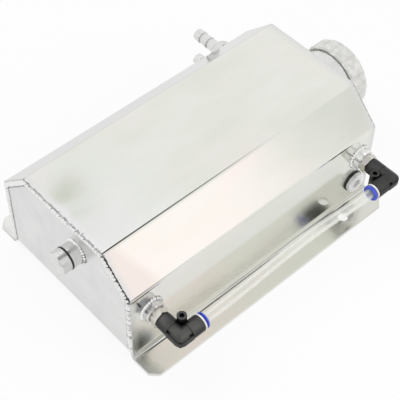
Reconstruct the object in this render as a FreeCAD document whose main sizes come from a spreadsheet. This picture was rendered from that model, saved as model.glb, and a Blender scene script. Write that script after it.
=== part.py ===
import FreeCAD, Part
import math
import os
import re
import Sketcher

# A welded aluminium coolant overflow tank that lies on its back. X runs across the tank towards the sight
# gauge, Y runs from the drain end to the filler end and Z rises from the mounting plane. The origin is the
# middle of the four mounting holes, level with the undersides of the flanges. All lengths are in millimetres.

SIZES = {
    # folded cover
    "tank_length": 250.0,
    "tank_width": 147.0,
    "tank_height": 102.5,
    "wall_height": 74.5,
    "top_width": 89.6,
    "sheet_thickness": 3.0,
    "bend_radius": 4.0,
    "foot_radius": 3.0,
    "flange_width": 23.0,
    "flange_corner_cut": 6.2,
    "mount_hole_radius": 4.25,
    "mount_hole_from_edge": 12.0,
    "mount_hole_from_end": 37.0,
    # fits between fixed pieces, and between pieces that turn or slide
    "fixed_gap": 0.1,
    "moving_gap": 0.3,
    # end plates, back panel and welds
    "back_recess": 8.4,
    "bead_inset": 0.4,
    "bead_width": 5.0,
    "bead_height": 1.6,
    "bead_round": 1.2,
    "seam_leg": 1.6,
    "seam_toe": 0.4,
    # filler neck and cap
    "neck_across": 0.0,
    "neck_above_back": 55.4,
    "neck_radius": 27.8,
    "neck_thread_radius": 26.0,
    "neck_wall": 3.5,
    "neck_reach": 35.4,
    "neck_weld_leg": 3.0,
    "cap_radius": 30.4,
    "cap_length": 16.0,
    "cap_top": 4.0,
    "cap_edge": 1.2,
    "cap_face_radius": 24.0,
    "cap_face_depth": 0.8,
    "scallop_radius": 7.0,
    "scallop_depth": 1.6,
    "scallop_count": 12,
    "cap_seal_thickness": 2.0,
    "cap_seal_width": 4.0,
    # drain
    "drain_across": 14.0,
    "drain_below_top": 27.0,
    "drain_bung_radius": 9.25,
    "drain_bung_length": 8.8,
    "drain_spigot_radius": 8.2,
    "drain_stem_radius": 6.8,
    "drain_stem_length": 10.0,
    "drain_ring_radius": 9.6,
    "drain_ring_thickness": 1.7,
    "drain_head_radius": 9.25,
    "drain_head_length": 8.0,
    "plug_edge": 0.7,
    # side port
    "row_from_end": 18.0,
    "port_above_back": 24.5,
    "port_bung_radius": 11.0,
    "port_bung_length": 10.0,
    "port_spigot_radius": 9.0,
    "port_stem_radius": 6.8,
    "port_stem_length": 9.0,
    "port_ring_radius": 9.45,
    "port_ring_thickness": 1.6,
    "port_head_radius": 8.85,
    "port_head_length": 3.4,
    "port_key_width": 8.0,
    "port_key_depth": 5.0,
    # sight gauge
    "gauge_above_back": 51.3,
    "lower_gauge_from_end": 18.0,
    "upper_gauge_from_end": 15.0,
    "gauge_bung_radius": 9.0,
    "gauge_bung_length": 7.0,
    "gauge_spigot_radius": 8.0,
    "bung_weld_leg": 2.0,
    "stud_thread_radius": 6.4,
    "stud_thread_length": 10.0,
    "stud_stand_off": 1.0,
    "stud_hex_width": 14.0,
    "stud_hex_length": 4.5,
    "stud_barrel_radius": 5.0,
    "stud_barrel_length": 7.5,
    "stud_groove_start": 2.0,
    "stud_groove_length": 1.6,
    "stud_groove_depth": 1.1,
    "flow_radius": 2.75,
    "elbow_radius": 6.4,
    "elbow_stud_leg": 19.4,
    "elbow_tube_leg": 18.0,
    "stud_collar_radius": 6.8,
    "stud_collar_length": 11.0,
    "stud_collar_edge": 1.2,
    "tube_collar_radius": 6.9,
    "tube_collar_length": 11.3,
    "tube_collar_edge": 0.7,
    "notch_length": 3.4,
    "notch_depth": 1.5,
    "stud_socket_depth": 8.4,
    "rib_proud": 0.6,
    "rib_thickness": 4.0,
    "rib_round": 6.0,
    "corner_inset": 0.6,
    "lug_offset": 8.3,
    "lug_radius": 3.7,
    "lug_hole_radius": 1.9,
    "lug_rise": 9.5,
    "lug_drop": 6.5,
    "tube_stop": 5.0,
    "tube_seat_length": 4.0,
    "tube_socket_radius": 5.9,
    "tube_seal_length": 2.5,
    "grip_thickness": 0.7,
    "grip_slot_width": 0.6,
    "grip_slot_depth": 1.0,
    "grip_tooth_count": 8,
    "guide_wall": 0.6,
    "guide_rim_radius": 6.5,
    "guide_rim_length": 1.4,
    "release_travel": 1.0,
    "release_flange_radius": 6.6,
    "release_flange_length": 1.5,
    "tube_radius": 4.0,
    "tube_bore_radius": 2.75,
    "tube_bow": 6.5,
    "tube_bow_from_middle": 18.0,
    "tube_lower_lead": 40.0,
    "tube_upper_lead": 30.0,
    # hose barbs and dip tube
    "front_barb_above_back": 55.0,
    "rear_barb_above_back": 26.0,
    "barb_bung_radius": 9.5,
    "barb_bung_length": 7.0,
    "barb_bung_inner_length": 6.0,
    "barb_spigot_radius": 8.2,
    "barb_thread_radius": 6.5,
    "barb_thread_length": 9.0,
    "barb_stand_off": 1.0,
    "barb_hex_width": 17.0,
    "barb_hex_length": 6.0,
    "barb_lead": 2.2,
    "barb_pitch": 8.6,
    "barb_crest_radius": 5.6,
    "barb_root_radius": 4.6,
    "barb_tip_radius": 4.9,
    "barb_tip_length": 6.9,
    "barb_bore_radius": 3.2,
    "dip_radius": 4.75,
    "dip_wall": 1.2,
    "dip_seat_length": 4.0,
    "dip_lead": 4.0,
    "dip_bend_radius": 16.0,
    "dip_foot_gap": 12.0,
}

doc = FreeCAD.newDocument("CoolantOverflowTank")
sheet = doc.addObject("Spreadsheet::Sheet", "Sizes")
for row, (word, number) in enumerate(SIZES.items(), start=1):
    sheet.set("A%d" % row, word)
    sheet.set("B%d" % row, str(number))
    sheet.setAlias("B%d" % row, word)
doc.recompute()

pieces = []


def formula(text):
    """Make an expression on the sheet out of a sum that uses the bare names of the sizes."""
    return re.sub(r"\b[a-z]\w*\b(?!\()", r"Sizes.\g<0>", text)


def value(text):
    """Work out a formula with the sizes as they stand."""
    return float(sheet.evalExpression(formula(text)))


def origin_part(body, role):
    """Find one of a body's own origin planes or axes."""
    return next(part for part in body.Origin.OriginFeatures if part.Role == role)


def new_body(label):
    body = doc.addObject("PartDesign::Body", label)
    body.Label = label
    pieces.append(body)
    return body


def new_sketch(body, plane, lift="0"):
    """Start a sketch on one of the body's origin planes, moved along the plane's normal."""
    sketch = body.newObject("Sketcher::SketchObject", "Sketch")
    sketch.AttachmentSupport = [(origin_part(body, plane), "")]
    sketch.MapMode = "FlatFace"
    sketch.setExpression("AttachmentOffset.Base.z", formula(lift))
    return sketch


def dimension(sketch, kind, place, text):
    """Add one dimension to a sketch and tie it to the sheet."""
    number = sketch.addConstraint(Sketcher.Constraint(kind, *place, value(text)))
    sketch.setExpression("Constraints[%d]" % number, formula(text))


def add_line_path(sketch, corners, closed=True):
    """Draw straight lines from corner to corner. Each corner is a pair of formulas."""
    points = [FreeCAD.Vector(value(across), value(up), 0) for across, up in corners]
    first = sketch.GeometryCount
    count = len(points) if closed else len(points) - 1
    for number in range(count):
        line = Part.LineSegment(points[number], points[(number + 1) % len(points)])
        sketch.addGeometry(line, False)
    for number in range(count if closed else count - 1):
        following = first + (number + 1) % count
        sketch.addConstraint(Sketcher.Constraint("Coincident", first + number, 2, following, 1))
    for number, (across, up) in enumerate(corners):
        line, end = (first + number, 1) if number < count else (first + count - 1, 2)
        dimension(sketch, "DistanceX", (-1, 1, line, end), across)
        dimension(sketch, "DistanceY", (-1, 1, line, end), up)


def add_circle(sketch, across, up, radius):
    centre = FreeCAD.Vector(value(across), value(up), 0)
    number = sketch.addGeometry(Part.Circle(centre, FreeCAD.Vector(0, 0, 1), value(radius)), False)
    dimension(sketch, "DistanceX", (-1, 1, number, 3), across)
    dimension(sketch, "DistanceY", (-1, 1, number, 3), up)
    dimension(sketch, "Radius", (number,), radius)


def pad(body, sketch, length, side="One side", reverse=False):
    feature = body.newObject("PartDesign::Pad", "Pad")
    feature.Profile = sketch
    feature.SideType = side
    feature.Reversed = reverse
    feature.setExpression("Length", formula(length))
    doc.recompute()
    return feature


def pocket(body, sketch, length, side="One side", reverse=False):
    """Cut a sketch into the body, and make sure that it took metal away."""
    before = body.Shape.Volume
    feature = body.newObject("PartDesign::Pocket", "Pocket")
    feature.Profile = sketch
    feature.SideType = side
    feature.Reversed = reverse
    feature.setExpression("Length", formula(length))
    doc.recompute()
    if body.Shape.Volume >= before:
        raise ValueError("%s: a pocket cut nothing" % body.Label)
    return feature


def revolve(body, sketch, axis="Z_Axis", cut=False):
    """Turn a sketch round one of the body's axes, adding or taking away material."""
    before = body.Shape.Volume if cut else 0
    kind = "PartDesign::Groove" if cut else "PartDesign::Revolution"
    feature = body.newObject(kind, "Turn")
    feature.Profile = sketch
    feature.ReferenceAxis = (origin_part(body, axis), [""])
    feature.Angle = 360
    doc.recompute()
    if cut and body.Shape.Volume >= before:
        raise ValueError("%s: a groove cut nothing" % body.Label)
    return feature


def repeat_round(body, feature, count):
    """Repeat a feature in a full circle about the body's Z axis."""
    pattern = body.newObject("PartDesign::PolarPattern", "Pattern")
    pattern.Originals = [feature]
    pattern.Axis = (origin_part(body, "Z_Axis"), [""])
    pattern.Angle = 360
    pattern.setExpression("Occurrences", formula(count))
    body.Tip = pattern
    doc.recompute()


def dress_edges(body, kind, size_name, size, chosen):
    """Fillet or chamfer the edges of the body that the chosen test picks out."""
    base = body.Tip
    names = ["Edge%d" % (number + 1) for number, edge in enumerate(base.Shape.Edges) if chosen(edge)]
    feature = body.newObject(kind, "Dress")
    feature.Base = (base, names)
    feature.setExpression(size_name, formula(size))
    doc.recompute()


def fillet(body, size, chosen):
    dress_edges(body, "PartDesign::Fillet", "Radius", size, chosen)


def chamfer(body, size, chosen):
    dress_edges(body, "PartDesign::Chamfer", "Size", size, chosen)


def close(one, other):
    return abs(one - other) < 0.01


def rim_at(radius, height):
    """A test for the round edge of a turned piece at a radius and a height."""
    def chosen(edge):
        round_edge = isinstance(edge.Curve, Part.Circle)
        return round_edge and close(edge.Curve.Radius, value(radius)) and close(edge.CenterOfMass.z, value(height))
    return chosen


def upright_at(across, along):
    """A test for an edge that runs along Z above a point."""
    def chosen(edge):
        middle = edge.CenterOfMass
        upright = close(edge.BoundBox.XLength, 0) and close(edge.BoundBox.YLength, 0)
        return upright and close(middle.x, value(across)) and close(middle.y, value(along))
    return chosen


FACING = {
    "+X": FreeCAD.Rotation(FreeCAD.Vector(0, 1, 0), 90),
    "-X": FreeCAD.Rotation(FreeCAD.Vector(0, 1, 0), -90),
    "+Y": FreeCAD.Rotation(FreeCAD.Vector(1, 0, 0), -90),
    "-Y": FreeCAD.Rotation(FreeCAD.Vector(1, 0, 0), 90),
}


def place(piece, at, turn):
    """Turn a piece and put its own origin at a point given by three formulas."""
    piece.Placement = FreeCAD.Placement(FreeCAD.Vector(0, 0, 0), turn)
    for letter, text in zip("xyz", at):
        piece.setExpression("Placement.Base.%s" % letter, formula(text))


def turned(label, profile, at, facing):
    """A round piece. Its profile is a list of radius and height pairs, and its axis points along facing."""
    body = new_body(label)
    sketch = new_sketch(body, "XZ_Plane")
    add_line_path(sketch, profile)
    revolve(body, sketch)
    place(body, at, FACING[facing])
    return body


def washer(inner, outer, start, end):
    """The profile of a plain ring."""
    return [(inner, start), (outer, start), (outer, end), (inner, end)]


def weld_ring(label, radius, leg, at, facing):
    """A fillet weld round the foot of a boss."""
    inner = "(%s + fixed_gap)" % radius
    return turned(label, [(inner, "0"), ("%s + %s" % (inner, leg), "0"), (inner, leg)], at, facing)


def hexagon(width):
    """The corners of a hexagon, given its width across the flats."""
    corner = "%s / sqrt(3)" % width
    half_flat = "%s / 2" % width
    half_side = "%s / 2 / sqrt(3)" % width
    right = [(half_side, "-" + half_flat), (corner, "0"), (half_side, half_flat)]
    return right + [("-" + across, up) for across, up in reversed(right)]


def hex_collar(body, width, start, length, bore):
    """Add a bored hexagon to a turned piece, with its outer corners turned off at 30 degrees."""
    sketch = new_sketch(body, "XY_Plane", start)
    add_line_path(sketch, hexagon(width))
    add_circle(sketch, "0", "0", bore)
    pad(body, sketch, length)
    end = "(%s + %s)" % (start, length)
    beyond = "%s / 4" % width
    bevel = new_sketch(body, "XZ_Plane")
    flat = "%s / 2" % width
    add_line_path(bevel, [
        (flat, end),
        ("%s + %s" % (flat, beyond), "%s - %s / sqrt(3)" % (end, beyond)),
        ("%s + %s" % (flat, beyond), end),
    ])
    revolve(body, bevel, cut=True)


def bent_path(points, radii):
    """Straight runs through the points, joined by tangent arcs of the given radii."""
    edges = []
    start = points[0]
    for before, corner, after, radius in zip(points, points[1:], points[2:], radii):
        inward = (before - corner).normalize()
        outward = (after - corner).normalize()
        half_turn = (math.pi - inward.getAngle(outward)) / 2
        tangent = radius * math.tan(half_turn)
        bisector = (inward + outward).normalize()
        centre = corner + bisector * (radius / math.cos(half_turn))
        arc_start = corner + inward * tangent
        arc_end = corner + outward * tangent
        edges.append(Part.LineSegment(start, arc_start).toShape())
        edges.append(Part.Arc(arc_start, centre - bisector * radius, arc_end).toShape())
        start = arc_end
    edges.append(Part.LineSegment(start, points[-1]).toShape())
    return Part.Wire(edges)


def bent_tube(label, points, radii, outer, bore):
    """A tube along a bent path, checked against its section times its length."""
    path = bent_path(points, radii)
    direction = points[1] - points[0]
    skins = []
    for radius in (outer, bore):
        ring = Part.Wire(Part.Circle(points[0], direction, radius).toShape())
        skins.append(path.makePipeShell([ring], True, True))
    shape = skins[0].cut(skins[1])
    expected = math.pi * (outer ** 2 - bore ** 2) * path.Length
    if abs(shape.Volume / expected - 1) > 0.01:
        raise ValueError("%s: the tube's volume is off" % label)
    tube = doc.addObject("Part::Feature", label)
    tube.Label = label
    tube.Shape = shape
    tube.Placement = FreeCAD.Placement()
    pieces.append(tube)
    return tube


# Outline of the tank's section. The shoulder is the corner of a side wall and a slanted face, the crown is
# the corner of a slanted face and the top, and both can be taken at a depth below the outer surface.
HALF_WIDTH = "tank_width / 2"
HALF_LENGTH = "tank_length / 2"
SLANT_WIDTH = "(tank_width / 2 - top_width / 2)"
SLANT_RISE = "(tank_height - wall_height)"
SLANT = "sqrt(%s ^ 2 + %s ^ 2)" % (SLANT_WIDTH, SLANT_RISE)
FLANGE_EDGE = "(tank_width / 2 + flange_width)"
DRAIN_HEIGHT = "(tank_height - drain_below_top)"
PORT_ROW = "(tank_length / 2 - row_from_end)"
LOWER_GAUGE = "(lower_gauge_from_end - tank_length / 2)"
UPPER_GAUGE = "(tank_length / 2 - upper_gauge_from_end)"


def shoulder(depth):
    return (
        "%s - %s" % (HALF_WIDTH, depth),
        "wall_height - %s * (%s - %s) / %s" % (depth, SLANT, SLANT_RISE, SLANT_WIDTH),
    )


def crown(depth):
    return (
        "top_width / 2 - %s * (%s - %s) / %s" % (depth, SLANT, SLANT_WIDTH, SLANT_RISE),
        "tank_height - %s" % depth,
    )


def mirrored(corners):
    """The same corners on the left side, in the order that closes an outline."""
    return [("-(%s)" % across, up) for across, up in reversed(corners)]


def both_sides(corners):
    return corners + mirrored(corners)


def along_tank(corners):
    """A test for edges that run the length of the tank through given corners of its section."""
    places = [(value(across), value(up)) for across, up in corners]

    def chosen(edge):
        middle = edge.CenterOfMass
        straight = close(edge.BoundBox.XLength, 0) and close(edge.BoundBox.ZLength, 0)
        return straight and any(close(middle.x, across) and close(middle.z, up) for across, up in places)
    return chosen


# Cover: one sheet folded into the two flanges, the side walls, the slanted faces and the top
cover = new_body("cover")
outer_bends = [shoulder("0"), crown("0")]
inner_bends = [shoulder("sheet_thickness"), crown("sheet_thickness")]
foot_corner = (HALF_WIDTH, "sheet_thickness")
foot_underside = (HALF_WIDTH + " - sheet_thickness", "0")
flange_end = [(FLANGE_EDGE, "0"), (FLANGE_EDGE, "sheet_thickness")]
section = new_sketch(cover, "XZ_Plane")
add_line_path(section, both_sides(flange_end + [foot_corner] + outer_bends)
              + list(reversed(both_sides([foot_underside] + inner_bends))))
pad(cover, section, "tank_length", side="Symmetric")
fillet(cover, "bend_radius", along_tank(both_sides(outer_bends)))
fillet(cover, "bend_radius - sheet_thickness", along_tank(both_sides(inner_bends)))
fillet(cover, "foot_radius", along_tank(both_sides([foot_corner])))
fillet(cover, "foot_radius + sheet_thickness", along_tank(both_sides([foot_underside])))
for across in (FLANGE_EDGE, "-" + FLANGE_EDGE):
    for along in (HALF_LENGTH, "-" + HALF_LENGTH):
        chamfer(cover, "flange_corner_cut", upright_at(across, along))

bolt_across = "(%s - mount_hole_from_edge)" % FLANGE_EDGE
bolt_along = "(%s - mount_hole_from_end)" % HALF_LENGTH
bolt_holes = new_sketch(cover, "XY_Plane")
for across in (bolt_across, "-" + bolt_across):
    for along in (bolt_along, "-" + bolt_along):
        add_circle(bolt_holes, across, along, "mount_hole_radius")
pocket(cover, bolt_holes, "wall_height", reverse=True)

right_holes = new_sketch(cover, "YZ_Plane")
for gauge_place in (LOWER_GAUGE, UPPER_GAUGE):
    add_circle(right_holes, gauge_place, "gauge_above_back", "gauge_spigot_radius + fixed_gap")
add_circle(right_holes, PORT_ROW, "port_above_back", "port_spigot_radius + fixed_gap")
pocket(cover, right_holes, "tank_width", reverse=True)

left_holes = new_sketch(cover, "YZ_Plane")
for height in ("front_barb_above_back", "rear_barb_above_back"):
    add_circle(left_holes, PORT_ROW, height, "barb_spigot_radius + fixed_gap")
pocket(cover, left_holes, "tank_width")

# Back panel: a flat sheet between the side walls and the end plates. It is sunk above the bends of the flanges,
# so that the welds round it stay clear of the panel that the tank is bolted to.
back_panel = new_body("back_panel")
panel_edge = "(%s - sheet_thickness - fixed_gap)" % HALF_WIDTH
panel_end = "(%s - sheet_thickness - fixed_gap)" % HALF_LENGTH
panel_underside = "(back_recess + seam_leg + 2 * fixed_gap)"
panel_outline = new_sketch(back_panel, "XY_Plane", panel_underside)
add_line_path(panel_outline, both_sides([(panel_edge, "-" + panel_end), (panel_edge, panel_end)]))
pad(back_panel, panel_outline, "sheet_thickness")

# End plates: they stand inside the cover, level with its ends, and stop above the bends of the flanges
plate_depth = "(sheet_thickness + fixed_gap)"
plate_corners = [(panel_edge, "back_recess"), shoulder(plate_depth), crown(plate_depth)]
lower_end_plate = new_body("lower_end_plate")
lower_outline = new_sketch(lower_end_plate, "XZ_Plane", HALF_LENGTH)
add_line_path(lower_outline, both_sides(plate_corners))
add_circle(lower_outline, "drain_across", DRAIN_HEIGHT, "drain_spigot_radius + fixed_gap")
pad(lower_end_plate, lower_outline, "sheet_thickness", reverse=True)

upper_end_plate = new_body("upper_end_plate")
upper_outline = new_sketch(upper_end_plate, "XZ_Plane", "-" + HALF_LENGTH)
add_line_path(upper_outline, both_sides(plate_corners))
add_circle(upper_outline, "neck_across", "neck_above_back", "neck_radius + fixed_gap")
pad(upper_end_plate, upper_outline, "sheet_thickness")

# End welds: a rounded bead over the joint of each end plate and the cover, open at the back
bead_outside = [(HALF_WIDTH + " - bead_inset", "back_recess"), shoulder("bead_inset"), crown("bead_inset")]
bead_inside = [(HALF_WIDTH + " - bead_width", "back_recess"), shoulder("bead_width"), crown("bead_width")]


def on_bead_face(edge):
    """Edges of the bead's outer face, without the two short ones at its feet."""
    bounds = edge.BoundBox
    on_face = close(bounds.YLength, 0) and close(abs(bounds.YMax), value(HALF_LENGTH + " + bead_height"))
    return on_face and not close(bounds.ZMax, value("back_recess"))


for label, lift, reverse in (("lower_end_weld", HALF_LENGTH, False), ("upper_end_weld", "-" + HALF_LENGTH, True)):
    bead = new_body(label)
    bead_outline = new_sketch(bead, "XZ_Plane", lift)
    add_line_path(bead_outline, both_sides(bead_outside) + list(reversed(both_sides(bead_inside))))
    pad(bead, bead_outline, "bead_height", reverse=reverse)
    fillet(bead, "bead_round", on_bead_face)

# Back seam welds: a hollow bead in each corner between the back panel and the walls and plates round it
seam_foot = "(%s - fixed_gap - seam_leg)" % panel_underside
seam_side = "(%s - seam_leg)" % panel_edge
seam_end = "(%s - seam_leg)" % panel_end
seam_reach = "(%s - fixed_gap)" % seam_side


def seam_bead(corner, run, length, hollow_corner):
    """A square bar that starts at a corner and runs along the tank or across it, with a round hollow along its
    free edge."""
    bar = doc.addObject("Part::Box", "SeamBar")
    sides = ("seam_leg", length) if run == "+Y" else (length, "seam_leg")
    bar.setExpression("Length", formula(sides[0]))
    bar.setExpression("Width", formula(sides[1]))
    bar.setExpression("Height", formula("seam_leg"))
    place(bar, (*corner, seam_foot), FreeCAD.Rotation())
    hollow = doc.addObject("Part::Cylinder", "SeamHollow")
    hollow.setExpression("Radius", formula("seam_leg - seam_toe"))
    hollow.setExpression("Height", formula(length))
    place(hollow, (*hollow_corner, seam_foot), FACING[run])
    bead = doc.addObject("Part::Cut", "Seam")
    bead.Base = bar
    bead.Tool = hollow
    return bead


seams = [
    seam_bead((seam_side, "-" + panel_end), "+Y", "2 * " + panel_end, (seam_side, "-" + panel_end)),
    seam_bead(("-" + panel_edge, "-" + panel_end), "+Y", "2 * " + panel_end, ("-" + seam_side, "-" + panel_end)),
    seam_bead(("-" + seam_reach, seam_end), "+X", "2 * " + seam_reach, ("-" + seam_reach, seam_end)),
    seam_bead(("-" + seam_reach, "-" + panel_end), "+X", "2 * " + seam_reach, ("-" + seam_reach, "-" + seam_end)),
]
back_seam_weld = doc.addObject("Part::Compound", "back_seam_weld")
back_seam_weld.Label = "back_seam_weld"
back_seam_weld.Links = seams
pieces.append(back_seam_weld)

# Filler neck: a turned tube through the upper end plate, welded round its foot. Its threaded end is thinner,
# and the rim of the cap comes down to the shoulder below the thread.
neck_at = ("neck_across", HALF_LENGTH, "neck_above_back")
neck_bore = "(neck_thread_radius - neck_wall)"
seal_end = "(neck_reach + cap_seal_thickness)"
cap_end = "(%s + cap_top)" % seal_end
cap_rim = "(%s - cap_length)" % cap_end
neck_shoulder = "(%s - moving_gap)" % cap_rim
turned("filler_neck", [
    (neck_bore, "-sheet_thickness"),
    ("neck_radius", "-sheet_thickness"),
    ("neck_radius", neck_shoulder),
    ("neck_thread_radius", neck_shoulder),
    ("neck_thread_radius", "neck_reach"),
    (neck_bore, "neck_reach"),
], neck_at, "+Y")
weld_ring("neck_weld", "neck_radius", "neck_weld_leg", neck_at, "+Y")

# Filler cap: a billet cup that screws over the neck, with a flat seal against the neck's rim
cap_bore = "(neck_thread_radius + moving_gap + fixed_gap)"
cap_seal = turned("cap_seal", washer("neck_thread_radius - cap_seal_width", "neck_thread_radius - moving_gap",
                                     "neck_reach", seal_end), neck_at, "+Y")
filler_cap = turned("filler_cap", [
    (cap_bore, cap_rim),
    ("cap_radius - cap_edge", cap_rim),
    ("cap_radius", cap_rim + " + cap_edge"),
    ("cap_radius", cap_end + " - cap_edge"),
    ("cap_radius - cap_edge", cap_end),
    ("cap_face_radius", cap_end),
    ("cap_face_radius - cap_face_depth", cap_end + " - cap_face_depth"),
    ("0", cap_end + " - cap_face_depth"),
    ("0", seal_end),
    (cap_bore, seal_end),
], neck_at, "+Y")
scallop = new_sketch(filler_cap, "XY_Plane", cap_rim)
add_circle(scallop, "cap_radius - scallop_depth + scallop_radius", "0", "scallop_radius")
repeat_round(filler_cap, pocket(filler_cap, scallop, "cap_length", reverse=True), "scallop_count")

# Drain: a boss on the lower end plate, closed by a round screw plug on a rubber ring
drain_at = ("drain_across", "-" + HALF_LENGTH, DRAIN_HEIGHT)
drain_bore = "(drain_stem_radius + moving_gap)"
ring_end = "(drain_bung_length + drain_ring_thickness)"
turned("drain_bung", [
    (drain_bore, "-sheet_thickness"),
    ("drain_spigot_radius", "-sheet_thickness"),
    ("drain_spigot_radius", "0"),
    ("drain_bung_radius", "0"),
    ("drain_bung_radius", "drain_bung_length"),
    (drain_bore, "drain_bung_length"),
], drain_at, "-Y")
weld_ring("drain_weld", "drain_bung_radius", "bung_weld_leg", drain_at, "-Y")
drain_o_ring = turned("drain_o_ring", washer(drain_bore, "drain_ring_radius", "drain_bung_length", ring_end),
                      drain_at, "-Y")
for height in ("drain_bung_length", ring_end):
    fillet(drain_o_ring, "drain_ring_thickness * 0.4", rim_at("drain_ring_radius", height))
drain_end = "(%s + drain_head_length)" % ring_end
drain_plug = turned("drain_plug", [
    ("0", ring_end + " - drain_stem_length"),
    ("drain_stem_radius", ring_end + " - drain_stem_length"),
    ("drain_stem_radius", ring_end),
    ("drain_head_radius", ring_end),
    ("drain_head_radius", drain_end),
    ("0", drain_end),
], drain_at, "-Y")
chamfer(drain_plug, "plug_edge", rim_at("drain_head_radius", drain_end))
chamfer(drain_plug, "plug_edge", rim_at("drain_stem_radius", ring_end + " - drain_stem_length"))

# Side port: a boss inside the right wall, level with it outside, closed by a low plug with a hexagon socket
port_at = (HALF_WIDTH, PORT_ROW, "port_above_back")
port_bore = "(port_stem_radius + moving_gap)"
port_inside = "(-sheet_thickness - port_bung_length)"
turned("side_port_bung", [
    (port_bore, port_inside),
    ("port_bung_radius", port_inside),
    ("port_bung_radius", "-sheet_thickness"),
    ("port_spigot_radius", "-sheet_thickness"),
    ("port_spigot_radius", "0"),
    (port_bore, "0"),
], port_at, "+X")
port_o_ring = turned("side_port_o_ring", washer(port_bore, "port_ring_radius", "0", "port_ring_thickness"),
                     port_at, "+X")
for height in ("0", "port_ring_thickness"):
    fillet(port_o_ring, "port_ring_thickness * 0.4", rim_at("port_ring_radius", height))
port_end = "(port_ring_thickness + port_head_length)"
port_stem_end = "(port_ring_thickness - port_stem_length)"
port_plug = turned("side_port_plug", [
    ("0", port_stem_end),
    ("port_stem_radius", port_stem_end),
    ("port_stem_radius", "port_ring_thickness"),
    ("port_head_radius", "port_ring_thickness"),
    ("port_head_radius", port_end),
    ("0", port_end),
], port_at, "+X")
chamfer(port_plug, "plug_edge", rim_at("port_head_radius", port_end))
chamfer(port_plug, "plug_edge", rim_at("port_stem_radius", port_stem_end))
key_socket = new_sketch(port_plug, "XY_Plane", port_end)
add_line_path(key_socket, hexagon("port_key_width"))
pocket(port_plug, key_socket, "port_key_depth")

# Sight gauge: two welded bosses carry push-in elbows, and a clear tube joins the elbows. Each elbow has a
# plated stud, a moulded body, a tube seal, a toothed grip ring, a guide ring and a release ring. Heights
# along a stud are measured from the wall, and heights along a tube socket from the corner of the elbow.
hex_start = "(gauge_bung_length + stud_stand_off)"
hex_end = "(%s + stud_hex_length)" % hex_start
TUBE_AXIS = "(%s + %s + elbow_stud_leg)" % (HALF_WIDTH, hex_end)
groove_start = "(%s + stud_groove_start)" % hex_end
groove_end = "(%s + stud_groove_length)" % groove_start
groove_radius = "(stud_barrel_radius - stud_groove_depth)"
stud_socket = "(stud_barrel_radius + fixed_gap)"
socket_floor = "(tube_stop + tube_seat_length)"
seal_face = "(%s + tube_seal_length)" % socket_floor
grip_face = "(%s + grip_thickness)" % seal_face
tube_fit = "(tube_radius + fixed_gap)"
socket_fit = "(tube_socket_radius - fixed_gap)"
guide_bore = "(%s - guide_wall)" % socket_fit
rim_face = "(elbow_tube_leg + guide_rim_length)"
sleeve_start = "(%s + moving_gap + release_travel)" % grip_face
flange_start = "(%s + moving_gap + release_travel)" % rim_face


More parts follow.
